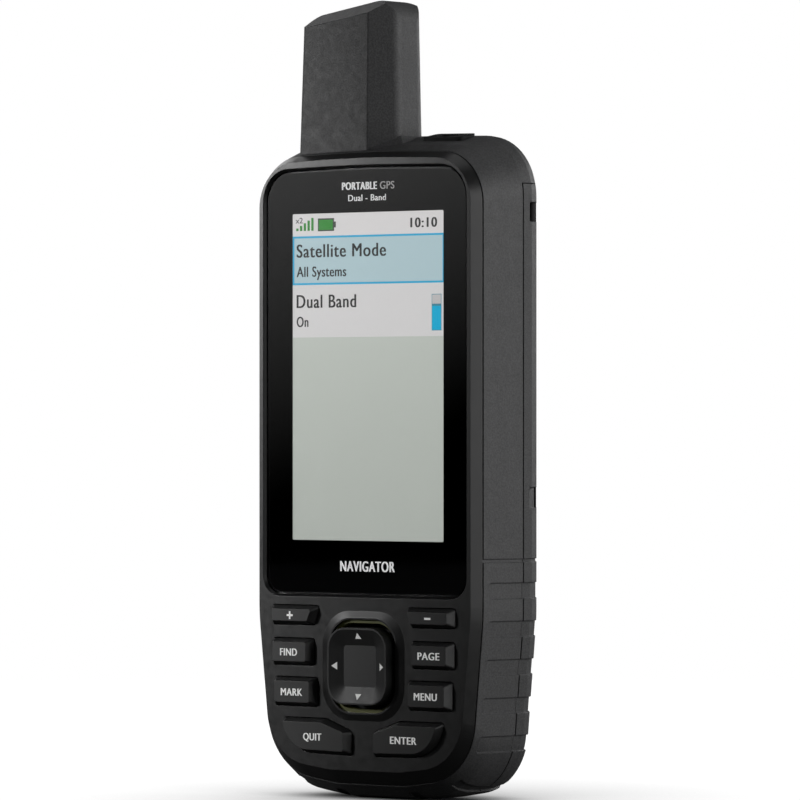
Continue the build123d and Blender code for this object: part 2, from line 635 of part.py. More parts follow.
def rear_housing():
    seam = SEAM_GAP / 2
    shell = below(case_form(SEAM_REAR + seam, BACK_DEPTH), SEAM_TOP_Z - SHELF_GAP / 2)
    cavity = below(case_form(SEAM_REAR - 0.1, BACK_WALL_DEPTH, WALL + 0.5), SEAM_TOP_Z - 1.9)
    shell -= cavity
    # recess and opening for the battery door
    shell -= slab(door_outline(DOOR_HALF + 0.25, DOOR_BOTTOM - 0.25, DOOR_TOP + 0.25, DOOR_CORNER + 0.25), 27.0, 30.0)
    shell -= slab(door_outline(DOOR_HALF - 1.7, DOOR_BOTTOM + 1.7, DOOR_TOP - 1.7, DOOR_CORNER - 1.5), 24.0, 28.0)
    # seat of the port cap, and the port's own opening
    cap_low, cap_high = PORT_Z - 5.6, CAP_PIN_Z + 1.1
    shell -= slab(span((-CAP_HALF - 0.25, CAP_HALF + 0.25), (cap_low, cap_high), 1.0), 27.0, 30.0)
    shell -= slab(span((-4.6, 4.6), (PORT_Z - 2.0, PORT_Z + 2.0), 0.8), 24.0, 28.0)
    for side in (-1, 1):
        x = (side * CAP_HALF + side * 0.25, side * (CAP_HALF + 1.4))
        shell -= rod_x(0.4, (min(x), max(x)), CAP_PIN_DEPTH, CAP_PIN_Z)
    # seat for the lamp
    shell -= rod_y(3.0, LAMP_X, LAMP_Z, 27.3, 30.0)
    shell -= rod_y(2.2, LAMP_X, LAMP_Z, 24.0, 28.0)
    # notches at both edges; the lanyard pockets are walled off from the inside and crossed by a pin
    low, high = LANYARD_Z
    walls = joined([side_block(side, (24.6, 32.0), (13.6, 23.0), (low - 1.6, high + 1.6)) for side in (-1, 1)])
    shell = shell + (walls & case_form(SEAM_REAR + seam, 26.0, 0.6))
    for side in (-1, 1):
        shell -= side_block(side, (26.6, 33.0), NOTCH_DEPTH, LANYARD_Z)
        shell -= rod_z(LANYARD_R, side * LANYARD_X, LANYARD_DEPTH, (low - 1.1, high + 1.1))
    lower = joined([side_block(side, (26.0, 33.0), NOTCH_DEPTH, LOWER_NOTCH_Z) for side in (-1, 1)])
    shell -= lower - case_form(SEAM_REAR, 25.0, LOWER_NOTCH_DEEP)
    # pillars and seats for the case screws
    for x, z in CASE_SCREWS:
        shell = shell + rod_y(2.6, x, z, SEAM_REAR + 0.1, BACK_WALL_DEPTH + 0.1)
        shell -= rod_y(1.0, x, z, SEAM_REAR - 1, SCREW_HEAD_DEPTH + 0.1)
        shell -= rod_y(2.0, x, z, SCREW_HEAD_DEPTH, 30.0)
    return shell - below(seam_groove(SEAM_REAR, REAR_GROOVE), SEAM_TOP_Z) - grip_cutter()


def case_screws():
    screws = []
    for x, z in CASE_SCREWS:
        head = rod_y(1.9, x, z, SCREW_HEAD_DEPTH, SCREW_HEAD_DEPTH + 1.5)
        drive = rod_y(0.8, x, z, SCREW_HEAD_DEPTH + 0.6, SCREW_HEAD_DEPTH + 1.6)
        screws.append(head - drive + rod_y(0.9, x, z, 7.4, SCREW_HEAD_DEPTH))
    return Compound(children=screws)


def lanyard_pins():
    low, high = LANYARD_Z
    pins = [rod_z(LANYARD_R, side * LANYARD_X, LANYARD_DEPTH, (low - 1.1, high + 1.1)) for side in (-1, 1)]
    return Compound(children=pins)


# ---------------------------------------------------------------- port, lamp and their board
def port_board():
    return block((-16.4, 9.0), (19.6, 20.6), (104.6, 116.6))


def port_receptacle():
    """A small charging socket, open to the back."""
    shell = block((-3.9, 3.9), (20.6, 26.2), (PORT_Z - 1.5, PORT_Z + 1.5))
    shell -= block((-3.5, 3.5), (21.4, 26.3), (PORT_Z - 1.15, PORT_Z + 1.15))
    tongue = block((-2.4, 2.4), (21.3, 25.6), (PORT_Z + 0.1, PORT_Z + 0.7))
    return shell + tongue


def port_lead():
    return block((-16.0, -10.0), (BOARD_DEPTH + BOARD_THICK, 6.0), (102.0, 105.4))


def lamp_led():
    return rod_y(1.7, LAMP_X, LAMP_Z, 20.6, 22.4)


def lamp_lens():
    lens = rod_y(2.9, LAMP_X, LAMP_Z, 27.3, 28.5) + rod_y(2.1, LAMP_X, LAMP_Z, 24.8, 27.3)
    return lens - Pos(LAMP_X, y_at(31.6), LAMP_Z) * Sphere(3.9)


def port_cap():
    """A flap with a knuckle along its top edge, a rib that enters the port and a nail notch below."""
    far = BACK_DEPTH
    low = PORT_Z - 5.35
    centre = CAP_PIN_DEPTH
    plate = slab(span((-CAP_HALF, CAP_HALF), (low, CAP_PIN_Z), 0.9), centre - CAP_THICK / 2, centre + CAP_THICK / 2)
    plate += block((-CAP_HALF, CAP_HALF), (centre - CAP_THICK / 2, centre + CAP_THICK / 2), (CAP_PIN_Z - 2, CAP_PIN_Z))
    knuckle = rod_x(CAP_THICK / 2, (-CAP_HALF, CAP_HALF), centre, CAP_PIN_Z)
    rib = block((-4.0, 4.0), (26.5, centre - CAP_THICK / 2), (PORT_Z - 1.4, PORT_Z + 1.4))
    notch = rod_x(0.6, (-2.5, 2.5), far + 0.1, low + 1.2)
    bore = rod_x(0.44, (-CAP_HALF - 1, CAP_HALF + 1), centre, CAP_PIN_Z)
    return plate + knuckle + rib - notch - bore


def port_cap_pin():
    return rod_x(0.4, (-CAP_HALF - 1.3, CAP_HALF + 1.3), CAP_PIN_DEPTH, CAP_PIN_Z)


# ---------------------------------------------------------------- battery door, spine, latch and ring
def battery_door():
    lip = slab(door_outline(DOOR_HALF, DOOR_BOTTOM, DOOR_TOP, DOOR_CORNER), DOOR_LIP, BACK_DEPTH)
    step = slab(door_outline(DOOR_HALF - 2.0, DOOR_BOTTOM + 2.0, DOOR_TOP - 2.0, DOOR_CORNER - 1.8), 25.9, DOOR_LIP)
    hollow = slab(door_outline(DOOR_HALF - 3.4, DOOR_BOTTOM + 3.4, DOOR_TOP - 3.4, 2.2), 25.0, 27.2)
    door = lip + step - hollow
    door = door + rod_y(6.4, 0, LATCH_Z, 25.9, 27.4)
    door -= rod_y(4.4, 0, LATCH_Z, 24.0, 30.0)
    for z in SPINE_SCREW_Z:
        door = door + rod_y(2.4, 0, z, 25.9, 27.4)
        door -= rod_y(1.0, 0, z, 25.0, 30.0)
    # a shallow finger scoop round the latch
    scoop = slab(rounded(17.0, 21.0, 4.0, 0, LATCH_Z - 5.0), 28.2, 30.0)
    return door - scoop


def door_seal():
    outer = slab(door_outline(DOOR_HALF - 0.4, DOOR_BOTTOM + 0.4, DOOR_TOP - 0.4, DOOR_CORNER - 0.4), 27.05, DOOR_LIP)
    return outer - slab(door_outline(DOOR_HALF - 1.5, DOOR_BOTTOM + 1.5, DOOR_TOP - 1.5, DOOR_CORNER - 1.4), 27.0, 27.5)


def spine_rail():
    """A T-section rail; its top end is chamfered so that a clip slides on from above."""
    low, high = SPINE_Z
    neck = slab(span((-3.6, 3.6), (low, high), 1.0), BACK_DEPTH, 30.4)
    head = slab(span((-5.8, 5.8), (low, high), 1.6), 30.4, 32.4)
    rail = neck + head
    tip = [e for e in rail.edges().filter_by(Axis.X) if abs(e.center().Y - y_at(32.4)) < 0.01]
    rail = chamfer(tip, 0.9)
    for z in SPINE_SCREW_Z:
        rail -= rod_y(1.0, 0, z, 28.0, 33.0)
        rail -= rod_y(2.0, 0, z, 31.1, 33.0)
    return rail


def spine_screws():
    screws = []
    for z in SPINE_SCREW_Z:
        head = rod_y(1.9, 0, z, 31.1, 32.2) - rod_y(0.7, 0, z, 31.5, 32.3)
        screws.append(head + rod_y(1.0, 0, z, 26.2, 31.1))
    return Compound(children=screws)


def latch_bushing():
    sleeve = rod_y(4.4, 0, LATCH_Z, 25.9, 28.2) + rod_y(5.2, 0, LATCH_Z, 28.2, 28.6)
    return sleeve - rod_y(LATCH_STEM_R + 0.05, 0, LATCH_Z, 25.0, 29.0)


def latch_stud():
    """The quarter-turn stud: a fork outside for the ring, a stem, and a cam inside."""
    disc = rod_y(4.9, 0, LATCH_Z, 28.7, 29.3)
    stem = rod_y(LATCH_STEM_R, 0, LATCH_Z, 25.2, 28.7)
    cam = slab(rounded(9.4, 4.2, 1.6, 0, LATCH_Z), 24.7, 25.6)
    fork = block((-3.4, 3.4), (29.3, RING_PIN_DEPTH), (LATCH_Z - 1.5, LATCH_Z + 1.5))
    fork = fork + rod_x(1.5, (-3.4, 3.4), RING_PIN_DEPTH, LATCH_Z)
    fork -= rod_x(0.95, (-4, 4), RING_PIN_DEPTH, LATCH_Z)
    return disc + stem + cam + fork


def d_ring():
    y, z = y_at(RING_PIN_DEPTH), LATCH_Z
    arm = 6.5
    path = Line((-RING_HALF, y, z), (-RING_HALF, y, z - arm))
    path += ThreePointArc((-RING_HALF, y, z - arm), (0, y, z - arm - RING_HALF), (RING_HALF, y, z - arm))
    path += Line((RING_HALF, y, z - arm), (RING_HALF, y, z))
    hoop = sweep(Plane(origin=(-RING_HALF, y, z), z_dir=(0, 0, -1)) * Circle(RING_WIRE_R), path=path)
    pin = rod_x(0.9, (-RING_HALF, RING_HALF), RING_PIN_DEPTH, z)
    knobs = [Pos(side * RING_HALF, y, z) * Sphere(RING_WIRE_R) for side in (-1, 1)]
    return hoop + pin + knobs[0] + knobs[1]


# ---------------------------------------------------------------- write every sub-part
def build_all():
    parts = {
        "front_housing": front_housing(), "housing_gasket": housing_gasket(),
        "display_lens": display_lens(), "lens_mask": lens_mask(), "keypad_mat": keypad_mat(),
        "dome_switches": dome_switches(), "rocker_cap": rocker_cap(), "rocker_ball": rocker_ball(),
        "rocker_post": rocker_post(), "rocker_ring": rocker_ring(), "mid_housing": mid_housing(),
        "power_key": power_key(), "power_switch": power_switch(), "main_board": main_board(),
        "board_screws": board_screws(), "shield_cans": shield_cans(), "processor_chips": processor_chips(),
        "antenna_former": antenna_former(), "antenna_elements": antenna_elements(),
        "antenna_board": antenna_board(), "antenna_lead": antenna_lead(), "buzzer": buzzer(),
        "battery_pack": battery_pack(), "battery_contacts": battery_contacts(),
        "card_holder": card_holder(), "memory_card": memory_card(), "rear_housing": rear_housing(),
        "case_screws": case_screws(), "lanyard_pins": lanyard_pins(), "port_board": port_board(),
        "port_receptacle": port_receptacle(), "port_lead": port_lead(), "lamp_led": lamp_led(),
        "lamp_lens": lamp_lens(), "port_cap": port_cap(), "port_cap_pin": port_cap_pin(),
        "battery_door": battery_door(), "door_seal": door_seal(), "spine_rail": spine_rail(),
        "spine_screws": spine_screws(), "latch_bushing": latch_bushing(), "latch_stud": latch_stud(),
        "d_ring": d_ring(),
    }
    parts.update(display_stack())
    for name, opening in key_columns():
        parts[name] = key(opening)
    for name, shape in parts.items():
        save(shape, name)


build_all()
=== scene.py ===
import math

import bpy
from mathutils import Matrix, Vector


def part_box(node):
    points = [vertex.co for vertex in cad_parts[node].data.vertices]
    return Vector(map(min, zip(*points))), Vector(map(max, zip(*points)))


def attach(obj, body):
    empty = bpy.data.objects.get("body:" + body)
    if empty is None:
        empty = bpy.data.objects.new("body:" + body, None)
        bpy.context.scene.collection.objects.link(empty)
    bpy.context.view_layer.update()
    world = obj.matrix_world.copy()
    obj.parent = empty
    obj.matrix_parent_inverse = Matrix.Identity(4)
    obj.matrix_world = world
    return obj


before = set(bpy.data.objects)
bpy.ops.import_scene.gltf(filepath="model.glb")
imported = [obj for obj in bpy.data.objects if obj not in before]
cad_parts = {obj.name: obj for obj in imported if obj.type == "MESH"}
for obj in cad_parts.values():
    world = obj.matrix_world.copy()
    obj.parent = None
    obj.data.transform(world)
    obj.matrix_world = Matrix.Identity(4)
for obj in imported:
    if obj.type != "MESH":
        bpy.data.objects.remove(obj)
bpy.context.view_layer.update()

MM = 0.001

# ---------------------------------------------------------------- places, read from the frame
LENS_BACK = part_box("display_lens")[1].y
LCD_LOW, LCD_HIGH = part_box("lcd_panel")
LCD_FACE = LCD_LOW.y
ROCKER_LOW, ROCKER_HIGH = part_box("rocker_cap")


# ---------------------------------------------------------------- colour and node helpers
def linear(red, green, blue):
    """An sRGB colour, 0 to 255, as linear RGBA."""
    def channel(value):
        value = value / 255.0
        if value <= 0.04045:
            return value / 12.92
        return ((value + 0.055) / 1.055) ** 2.4
    return (channel(red), channel(green), channel(blue), 1.0)


def scaled(colour, factor):
    return (colour[0] * factor, colour[1] * factor, colour[2] * factor, 1.0)


MIX_FIRST, MIX_SECOND, MIX_RESULT = 6, 7, 2     # the colour sockets of a Mix node
TEXTURE_RANGE = (0.3, 0.7)                      # where most values of a noise texture lie


class Nodes:
    """A small writer of node trees for one material."""

    def __init__(self, name):
        self.material = bpy.data.materials.new(name)
        self.material.use_nodes = True
        self.tree = self.material.node_tree
        self.shader = self.tree.nodes["Principled BSDF"]

    def add(self, kind, **values):
        node = self.tree.nodes.new(kind)
        for key, value in values.items():
            if key in node.inputs:
                node.inputs[key].default_value = value
            else:
                setattr(node, key, value)
        return node

    def link(self, source, target):
        self.tree.links.new(source, target)

    def feed(self, value, target):
        """Links a socket to the target, or sets the target to a plain value."""
        if isinstance(value, bpy.types.NodeSocket):
            self.link(value, target)
        else:
            target.default_value = value

    def place(self):
        return self.add("ShaderNodeTexCoord").outputs["Object"]

    def noise(self, size_mm, detail=2.0, rough=0.5):
        node = self.add("ShaderNodeTexNoise", Scale=1.0 / (size_mm * MM), Detail=detail, Roughness=rough)
        self.link(self.place(), node.inputs["Vector"])
        return node.outputs["Fac"]

    def cells(self, size_mm):
        node = self.add("ShaderNodeTexVoronoi", Scale=1.0 / (size_mm * MM))
        self.link(self.place(), node.inputs["Vector"])
        return node.outputs["Distance"]

    def remap(self, source, given, wanted):
        """Maps the range given, as (low, high), onto the range wanted."""
        node = self.add("ShaderNodeMapRange")
        node.inputs["From Min"].default_value, node.inputs["From Max"].default_value = given
        node.inputs["To Min"].default_value, node.inputs["To Max"].default_value = wanted
        self.link(source, node.inputs["Value"])
        return node.outputs["Result"]

    def spread(self, source, low, high):
        """Maps a texture's values onto low to high."""
        return self.remap(source, TEXTURE_RANGE, (low, high))

    def reckon(self, operation, first, second):
        node = self.add("ShaderNodeMath", operation=operation)
        self.feed(first, node.inputs[0])
        self.feed(second, node.inputs[1])
        return node.outputs[0]

    def axes(self):
        """The place's X, Y and Z as separate sockets."""
        node = self.add("ShaderNodeSeparateXYZ")
        self.link(self.place(), node.inputs["Vector"])
        return node.outputs

    def blend(self, factor, first, second, kind="MIX"):
        node = self.add("ShaderNodeMix", data_type="RGBA", blend_type=kind)
        self.feed(factor, node.inputs["Factor"])
        self.feed(first, node.inputs[MIX_FIRST])
        self.feed(second, node.inputs[MIX_SECOND])
        return node.outputs[MIX_RESULT]

    def bump(self, source, depth_mm, after=None):
        node = self.add("ShaderNodeBump", Strength=1.0, Distance=depth_mm * MM)
        self.link(source, node.inputs["Height"])
        if after is not None:
            self.link(after, node.inputs["Normal"])
        return node.outputs["Normal"]

    def soft_edges(self, radius_mm):
        node = self.add("ShaderNodeBevel", samples=4, Radius=radius_mm * MM)
        return node.outputs["Normal"]


DRIFT_MM = 9.0          # size of the slow drift in a moulding's tone
GLOSS_MM = 1.3          # size of its shinier and duller patches
GLOSS_SPREAD = 0.05


def moulded(name, colour, roughness, grain_mm=0.25, grain_depth=0.006, vary=0.12, edge=0.12,
            specular=0.5, painted_grain_shading=0.0):
    """Moulded plastic or rubber: fine spark texture, slow tone drift and softly rounded edges."""
    n = Nodes(name)
    drift = n.spread(n.noise(DRIFT_MM, 3.0), 0.0, 1.0)
    tone = n.blend(drift, scaled(colour, 1 - vary), scaled(colour, 1 + vary))
    if painted_grain_shading:
        # painted shade darkens the pits of the spark texture, and a painted highlight lightens its crests
        shade = n.spread(n.noise(grain_mm, 1.0, 0.5), 1 - painted_grain_shading, 1 + painted_grain_shading)
        tone = n.blend(1.0, tone, shade, "MULTIPLY")
    n.link(tone, n.shader.inputs["Base Color"])
    gloss = n.spread(n.noise(GLOSS_MM, 4.0, 0.6), roughness - GLOSS_SPREAD, roughness + GLOSS_SPREAD)
    n.link(gloss, n.shader.inputs["Roughness"])
    n.shader.inputs["Specular IOR Level"].default_value = specular
    normal = n.bump(n.noise(grain_mm, 3.0, 0.65), grain_depth, n.soft_edges(edge))
    n.link(normal, n.shader.inputs["Normal"])
    return n.material


def metal(name, colour, roughness, grain_mm=0.4):
    """Worked metal: brushed grain in roughness and a faint bump."""
    n = Nodes(name)
    n.shader.inputs["Metallic"].default_value = 1.0
    grain = n.noise(grain_mm, 6.0, 0.7)
    n.link(n.blend(n.spread(grain, 0.0, 1.0), scaled(colour, 0.85), colour), n.shader.inputs["Base Color"])
    n.link(n.spread(grain, roughness - 0.07, roughness + 0.09), n.shader.inputs["Roughness"])
    n.link(n.bump(grain, 0.004, n.soft_edges(0.06)), n.shader.inputs["Normal"])
    return n.material


def printed(name, colour, glow=0.0):
    """Printing ink with a slightly broken edge tone; any glow is painted light, making the ink brighter than
    the lamps make it.
    """
    n = Nodes(name)
    tone = n.spread(n.noise(0.35, 3.0), 0.0, 1.0)
    n.link(n.blend(tone, scaled(colour, 0.9), colour), n.shader.inputs["Base Color"])
    n.shader.inputs["Roughness"].default_value = 0.55
    # painted light: the ink glows, though it is no lamp
    if glow:
        n.shader.inputs["Emission Color"].default_value = colour
        n.shader.inputs["Emission Strength"].default_value = glow
    return n.material


SCREEN_GLOW = 0.96


def lit(name, colour, shade=0.0):
    """A lit area of the display; shade darkens it towards the bottom of the screen."""
    n = Nodes(name)
    n.shader.inputs["Base Color"].default_value = scaled(colour, 0.2)
    n.shader.inputs["Roughness"].default_value = 0.6
    tone = n.spread(n.noise(0.17, 1.0), 0.0, 1.0)
    glow = n.blend(tone, scaled(colour, 0.985), colour)
    if shade:
        height = n.remap(n.axes()["Z"], (LCD_LOW.z, LCD_HIGH.z), (0.0, 1.0))
        glow = n.blend(height, scaled(colour, 1 - shade), glow)
    n.link(glow, n.shader.inputs["Emission Color"])
    n.shader.inputs["Emission Strength"].default_value = SCREEN_GLOW
    return n.material


def clear_glass(name, roughness=0.02):
    n = Nodes(name)
    n.shader.inputs["Base Color"].default_value = (1.0, 1.0, 1.0, 1.0)
    n.shader.inputs["Transmission Weight"].default_value = 1.0
    n.shader.inputs["IOR"].default_value = 1.5
    smear = n.noise(14.0, 2.0)
    n.link(n.spread(smear, roughness, roughness + 0.015), n.shader.inputs["Roughness"])
    return n.material


# ---------------------------------------------------------------- materials
front_black = moulded("front_black", (0.010, 0.010, 0.010, 1), 0.34, grain_depth=0.002, edge=0.1)
# case_grey and door_grey get painted shade in the pits of their grain and a painted highlight on its crests
case_grey = moulded("case_grey", (0.045, 0.045, 0.046, 1), 0.55, grain_mm=0.34, grain_depth=0.035,
                    vary=0.04, edge=0.3, painted_grain_shading=0.3)
door_grey = moulded("door_grey", (0.040, 0.040, 0.041, 1), 0.58, grain_mm=0.36, grain_depth=0.035,
                    vary=0.05, edge=0.25, painted_grain_shading=0.3)
key_black = moulded("key_black", (0.014, 0.014, 0.014, 1), 0.45, grain_mm=0.2, grain_depth=0.003, edge=0.14)
rocker_black = moulded("rocker_black", (0.018, 0.018, 0.018, 1), 0.45, grain_mm=0.2, grain_depth=0.003,
                       edge=0.14)
olive = moulded("olive", linear(92, 94, 30), 0.4, edge=0.05)
seal_black = moulded("seal_black", (0.004, 0.004, 0.004, 1), 0.8)
ink_black = moulded("ink_black", (0.002, 0.002, 0.002, 1), 0.5, grain_depth=0.0005)
power_black = moulded("power_black", (0.012, 0.012, 0.012, 1), 0.6, grain_mm=0.3, grain_depth=0.01,
                      specular=0.15)
flap_rubber = moulded("flap_rubber", (0.02, 0.02, 0.021, 1), 0.7, grain_mm=0.3, grain_depth=0.01)
resin_black = moulded("resin_black", (0.015, 0.015, 0.016, 1), 0.45)
board_green = moulded("board_green", linear(12, 82, 44), 0.35, grain_depth=0.002, vary=0.2)
resin_pale = moulded("resin_pale", linear(214, 206, 184), 0.5)
white_film = moulded("white_film", linear(232, 234, 235), 0.4)
amber_film = moulded("amber_film", linear(176, 112, 30), 0.35)
battery_film = moulded("battery_film", linear(58, 64, 84), 0.3, vary=0.2)
phosphor = moulded("phosphor", linear(240, 226, 120), 0.4)
steel = metal("steel", (0.62, 0.62, 0.63, 1), 0.32)
dark_screw = metal("dark_screw", (0.16, 0.16, 0.165, 1), 0.38)
ring_metal = metal("ring_metal", (0.52, 0.52, 0.53, 1), 0.3, 0.6)
brass = metal("brass", (0.72, 0.5, 0.22, 1), 0.3)
copper = metal("copper", (0.8, 0.38, 0.22, 1), 0.28)
gold = metal("gold", (0.95, 0.68, 0.28, 1), 0.25)
lens_clear = clear_glass("lens_clear")
lamp_clear = clear_glass("lamp_clear", 0.05)
# these white and grey inks glow a little: painted light
legend_white = printed("legend_white", linear(240, 240, 238), 0.3)
arrow_grey = printed("arrow_grey", linear(222, 222, 220), 0.3)
lens_white = printed("lens_white", linear(240, 240, 240), 0.6)
lens_grey = printed("lens_grey", linear(190, 190, 190), 0.35)
text_dark = printed("text_dark", linear(10, 11, 14))

FINISHES = {
    "front_housing": front_black, "mid_housing": case_grey, "rear_housing": case_grey,
    "battery_door": door_grey, "spine_rail": case_grey, "display_lens": lens_clear, "lens_mask": ink_black,
    "housing_gasket": seal_black, "keypad_mat": seal_black, "door_seal": seal_black, "rocker_ring": olive,
    "rocker_cap": rocker_black, "power_key": power_black, "port_cap": flap_rubber, "lamp_lens": lamp_clear,
    "lamp_led": phosphor, "main_board": board_green, "port_board": board_green, "antenna_board": board_green,
    "shield_cans": steel, "display_tray": steel, "port_receptacle": steel, "card_holder": steel,
    "dome_switches": steel, "rocker_ball": steel, "latch_stud": ring_metal, "d_ring": ring_metal,
    "lanyard_pins": seal_black, "port_cap_pin": steel, "case_screws": dark_screw, "spine_screws": dark_screw,
    "board_screws": dark_screw, "latch_bushing": brass, "antenna_elements": copper, "battery_contacts": gold,
    "antenna_former": resin_pale, "rocker_post": resin_pale, "backlight": white_film,
    "display_flex": amber_film, "port_lead": amber_film, "battery_pack": battery_film,
}
for node_name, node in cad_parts.items():
    finish = FINISHES.get(node_name)
    if finish is None:
        finish = key_black if node_name.endswith("_key") else resin_black
    node.data.materials.clear()
    node.data.materials.append(finish)


# ---------------------------------------------------------------- mesh helpers
def piece(name, verts, faces, material, body):
    mesh = bpy.data.meshes.new(name)
    mesh.from_pydata(verts, [], faces)
    mesh.update()
    thing = bpy.data.objects.new(name, mesh)
    bpy.context.scene.collection.objects.link(thing)
    mesh.materials.append(material)
    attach(thing, body)
    return thing


PLATE_THICK = 0.008     # millimetres


def plate(x, z, y):
    """A thin upright plate facing -Y, as verts and faces: x and z in millimetres, its back at y in metres."""
    near, far = y - PLATE_THICK * MM, y
    verts = []
    for depth in (near, far):
        for cx, cz in ((x[0], z[0]), (x[1], z[0]), (x[1], z[1]), (x[0], z[1])):
            verts.append((cx * MM, depth, cz * MM))
    faces = [(0, 1, 2, 3), (7, 6, 5, 4), (0, 4, 5, 1), (1, 5, 6, 2), (2, 6, 7, 3), (3, 7, 4, 0)]
    return verts, faces


def plates(name, areas, y, material, body="case"):
    """Several thin plates as one piece. Each area is ((x0, x1), (z0, z1))."""
    verts, faces = [], []
    for x, z in areas:
        more_verts, more_faces = plate(x, z, y)
        faces += [tuple(i + len(verts) for i in face) for face in more_faces]
        verts += more_verts
    return piece(name, verts, faces, material, body)


CAP_OF_SIZE = 0.73      # cap height of the built-in font at size 1
HALF_DEPTH = 0.01       # of the font's outline, at size 1
LETTER_THICK = 0.03     # millimetres, as the lettering ends up
LETTER_LIFT = 0.015     # millimetres from its middle to the face that carries it
COPY_STEP = 0.0005      # millimetres between copies, so that no two faces lie in one plane
BOLD_SPACING = 0.7      # extra letter spacing for each millimetre of bold


def font_outline(name, text, bold_mm):
    """The text as a mesh at size 1, with letters set wider apart the bolder they get."""
    curve = bpy.data.curves.new(name, "FONT")
    curve.body = text
    curve.size = 1.0
    curve.extrude = HALF_DEPTH
    curve.resolution_u = 6
    curve.space_character = 1.0 + BOLD_SPACING * bold_mm
    holder = bpy.data.objects.new(name + "_outline", curve)
    bpy.context.scene.collection.objects.link(holder)
    bpy.context.view_layer.update()
    graph = bpy.context.evaluated_depsgraph_get()
    outline = bpy.data.meshes.new_from_object(holder.evaluated_get(graph))
    bpy.data.objects.remove(holder)
    return outline


def words(name, text, x, z, y, cap_mm, width_mm, material, body="case", align="CENTER", bold_mm=0.0):
    """Lettering as solid mesh, facing -Y: cap_mm tall, baseline at z, stretched to width_mm.

    x and z are in millimetres and y in metres. bold_mm thickens the upright strokes by laying
    shifted copies over one another."""
    outline = font_outline(name, text, bold_mm)
    low_x = min(v.co.x for v in outline.vertices)
    high_x = max(v.co.x for v in outline.vertices)
    tall = cap_mm / CAP_OF_SIZE * MM
    wide = width_mm * MM / (high_x - low_x)
    thick = LETTER_THICK * MM / (2 * HALF_DEPTH)
    span = (high_x - low_x) * wide
    start = {"CENTER": x * MM - span / 2, "LEFT": x * MM, "RIGHT": x * MM - span}[align]
    shifts = [-bold_mm / 2, 0.0, bold_mm / 2] if bold_mm else [0.0]
    verts, faces = [], []
    for layer, shift in enumerate(shifts):
        faces += [tuple(i + len(verts) for i in face.vertices) for face in outline.polygons]
        middle = y - (LETTER_LIFT + COPY_STEP * layer) * MM
        for v in outline.vertices:
            px = start + (v.co.x - low_x) * wide + shift * MM
            verts.append((px, middle - v.co.z * thick, z * MM + v.co.y * tall))
    return piece(name, verts, faces, material, body)


# ---------------------------------------------------------------- key legends
def key_face(node):
    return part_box(node)[0].y


LEGEND_CAP, LEGEND_BOLD = 1.55, 0.14
LEGENDS = [     # key, text, middle x, baseline z, width
    ("find", "FIND", -18.3, 28.75, 4.4),
    ("page", "PAGE", 18.3, 28.75, 5.5),
    ("mark", "MARK", -17.5, 20.65, 5.6),
    ("menu", "MENU", 17.5, 20.65, 5.8),
    ("quit", "QUIT", -12.0, 11.75, 4.7),
    ("enter", "ENTER", 11.8, 11.75, 6.7),
]
for key, text, x, z, width in LEGENDS:
    words(key + "_legend", text, x, z, key_face(key + "_key"), LEGEND_CAP, width, legend_white,
          key + "_button", bold_mm=LEGEND_BOLD)

SIGN_X, SIGN_Z, SIGN_SIZE = 18.0, 36.95, 1.6
SIGN_STROKE = 0.13      # half a bar's width, as a share of the sign's size
SIGN_GAP = 0.002        # millimetres between the sign and its key


def sign_bars(x, z, size, upright):
    """The areas of a minus sign, or of a plus sign if upright."""
    half, stroke = size / 2, size * SIGN_STROKE
    areas = [((x - half, x + half), (z - stroke, z + stroke))]
    if upright:
        areas.append(((x - stroke, x + stroke), (z + stroke, z + half)))
        areas.append(((x - stroke, x + stroke), (z - half, z - stroke)))
    return areas


for name, x, upright in (("zoom_in", -SIGN_X, True), ("zoom_out", SIGN_X, False)):
    plates(name + "_legend", sign_bars(x, SIGN_Z, SIGN_SIZE, upright),
           key_face(name + "_key") - SIGN_GAP * MM, legend_white, name + "_button")


# ---------------------------------------------------------------- rocker arrows
ARROW_TIP, ARROW_BASE = 6.75, 5.55      # from the rocker's middle
ARROW_HALF = 0.78                       # half the arrow's width
ARROW_LIFT = 0.03                       # in front of the slope
ARROW_THICK = 0.02
SLOPE_INNER, SLOPE_OUTER = 4.2, 7.33    # where the dish's slope meets its floor and its rim
DISH_DEPTH = 1.1


def rocker_arrows():
    """Four triangles printed on the sloping sides of the dish."""
    middle = (ROCKER_LOW.z + ROCKER_HIGH.z) / 2 / MM
    rim_y = ROCKER_LOW.y / MM
    floor_y = rim_y + DISH_DEPTH
    verts, faces = [], []
    for turn in range(4):
        angle = math.radians(90 * turn)
        for along, across in ((ARROW_TIP, 0.0), (ARROW_BASE, ARROW_HALF), (ARROW_BASE, -ARROW_HALF)):
            up_slope = (along - SLOPE_INNER) / (SLOPE_OUTER - SLOPE_INNER)
            y = floor_y + (rim_y - floor_y) * up_slope - ARROW_LIFT
            verts.append(((along * math.cos(angle) - across * math.sin(angle)) * MM, y * MM,
                          (middle + along * math.sin(angle) + across * math.cos(angle)) * MM))
        start = len(verts) - 3
        faces.append((start, start + 1, start + 2))
    arrows = piece("rocker_arrows", verts, faces, arrow_grey, "rocker")
    solid = arrows.modifiers.new("thickness", "SOLIDIFY")
    solid.thickness = ARROW_THICK * MM


rocker_arrows()

